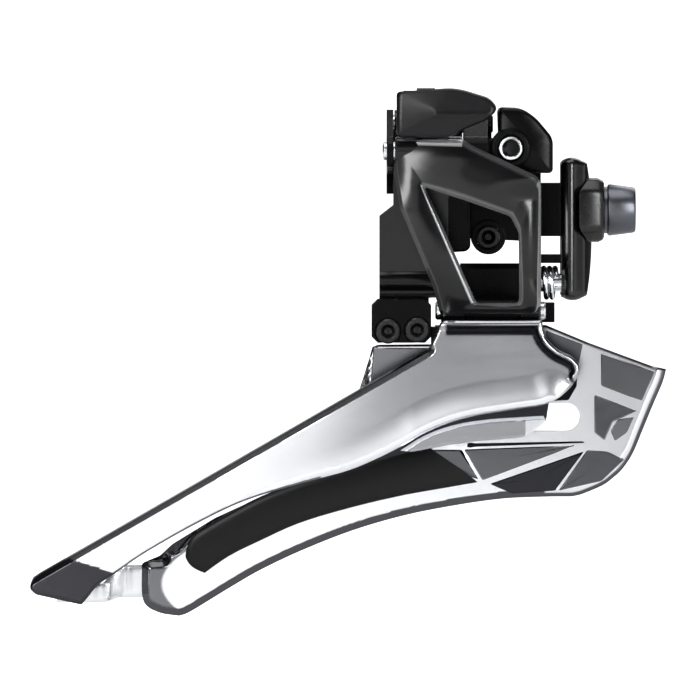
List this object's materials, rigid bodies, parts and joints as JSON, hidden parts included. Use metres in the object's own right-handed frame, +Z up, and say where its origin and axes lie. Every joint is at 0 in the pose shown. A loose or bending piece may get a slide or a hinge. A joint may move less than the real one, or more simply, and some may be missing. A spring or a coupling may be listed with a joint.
{
  "type": "front derailleur",
  "caption": "Braze-on front derailleur: a saddle bolts to the frame, and a spring-returned parallelogram linkage moves a long two-plate chain cage sideways when the cable pulls its arm.",
  "frame": {"origin": "on the axis of the clamp bolt, at the crest of the convex saddle that bears on the frame's hanger", "axes": "+X forwards along the bicycle and along the clamp bolt, +Y inboard towards the frame, +Z up along the seat tube"},
  "size_m": [0.1049, 0.0412, 0.0877],
  "materials": {
    "cage_silver": "satin, with a matte graphite edge",
    "inner_steel": "satin, faceted",
    "skid_resin": "satin black",
    "bright_steel": "polished",
    "black_gloss": "gloss black anodised",
    "black_satin": "satin black",
    "black_bolt": "black oxide",
    "grey_bolt": "grey phosphate",
    "cap_resin": "black"
  },
  "bodies": {
    "base": {"base_bracket": "black_satin", "base_saddle": "black_satin", "adjuster_block": "black_satin", "outer_upper_pin": "bright_steel", "inner_upper_pin": "bright_steel", "arm_pin": "bright_steel", "upper_pin_clip": "black_bolt"},
    "clamp_bolt": {"clamp_bolt": "grey_bolt", "clamp_washer": "black_bolt"},
    "support_bolt": {"support_bolt": "black_bolt"},
    "cable_adjust_bolt": {"cable_adjust_bolt": "grey_bolt"},
    "outer_link": {"outer_link": "black_gloss", "link_cap": "cap_resin", "outer_upper_bushes": "bright_steel", "outer_lower_pin": "bright_steel", "toggle_pin_outer": "bright_steel"},
    "inner_link": {"inner_link": "black_gloss", "inner_upper_bushes": "bright_steel", "inner_lower_bushes": "bright_steel"},
    "cage": {"hinge_bracket": "black_satin", "limit_screw_block": "black_satin", "inner_lower_pin": "bright_steel", "lower_pin_clip": "black_bolt", "outer_plate": "cage_silver", "inner_plate": "inner_steel", "skid_plate": "skid_resin", "tail_bridge": "bright_steel", "tail_screw": "bright_steel", "outer_plate_rivets": "bright_steel", "inner_plate_rivets": "bright_steel", "return_spring": "bright_steel"},
    "low_limit_screw": {"low_limit_screw": "black_bolt"},
    "high_limit_screw": {"high_limit_screw": "black_bolt"},
    "cable_arm": {"cable_arm": "black_satin", "arm_bushes": "bright_steel", "toggle_pin_inner": "bright_steel"},
    "cable_bolt": {"cable_bolt": "grey_bolt", "cable_washer": "black_bolt"},
    "toggle_link": {"toggle_link": "black_gloss"}
  },
  "joints": [
    {"name": "link_swing", "type": "hinge", "parent": "base", "child": "outer_link", "pos_m": [-0.0274, -0.02334, 0.01004], "axis": [-1, 0, 0], "range_deg": [0, 30], "stiffness_Nm_per_rad": 0.2, "springref_deg": -14.32},
    {"name": "inner_link_swing", "type": "hinge", "parent": "base", "child": "inner_link", "pos_m": [-0.0274, -0.01284, 0.01444], "axis": [-1, 0, 0], "range_deg": [0, 30]},
    {"name": "cage_level", "type": "hinge", "parent": "outer_link", "child": "cage", "pos_m": [-0.0168, -0.0215, -0.0163], "axis": [-1, 0, 0], "range_deg": [-30, 0]},
    {"name": "cable_arm_swing", "type": "hinge", "parent": "base", "child": "cable_arm", "pos_m": [-0.0274, -0.0074, 0.0102], "axis": [-1, 0, 0], "range_deg": [0, 30]},
    {"name": "toggle_swing", "type": "hinge", "parent": "cable_arm", "child": "toggle_link", "pos_m": [-0.0277, -0.0071, 0.0186], "axis": [-1, 0, 0], "range_deg": [-30, 0]},
    {"name": "clamp_bolt_slide", "type": "slide", "parent": "base", "child": "clamp_bolt", "axis": [1, 0, 0], "range_m": [0, 0.004]},
    {"name": "support_bolt_slide", "type": "slide", "parent": "base", "child": "support_bolt", "axis": [0, 1, 0], "range_m": [0, 0.002]},
    {"name": "cable_adjust_turn", "type": "hinge", "parent": "base", "child": "cable_adjust_bolt", "pos_m": [-0.0138, -0.022, 0.0105], "axis": [0, -1, 0], "range_deg": [-180, 180]},
    {"name": "low_limit_screw_slide", "type": "slide", "parent": "cage", "child": "low_limit_screw", "axis": [0, -1, 0], "range_m": [0, 0.002]},
    {"name": "high_limit_screw_slide", "type": "slide", "parent": "cage", "child": "high_limit_screw", "axis": [0, -1, 0], "range_m": [0, 0.002]},
    {"name": "cable_bolt_slide", "type": "slide", "parent": "cable_arm", "child": "cable_bolt", "axis": [0, 1, 0], "range_m": [0, 0.001]}
  ],
  "couplings": [
    {"joint": "inner_link_swing", "follows": "link_swing", "ratio": 1},
    {"joint": "cage_level", "follows": "link_swing", "ratio": -1},
    {"joint": "cable_arm_swing", "follows": "link_swing", "ratio": 1},
    {"joint": "toggle_swing", "follows": "link_swing", "ratio": -1}
  ]
}
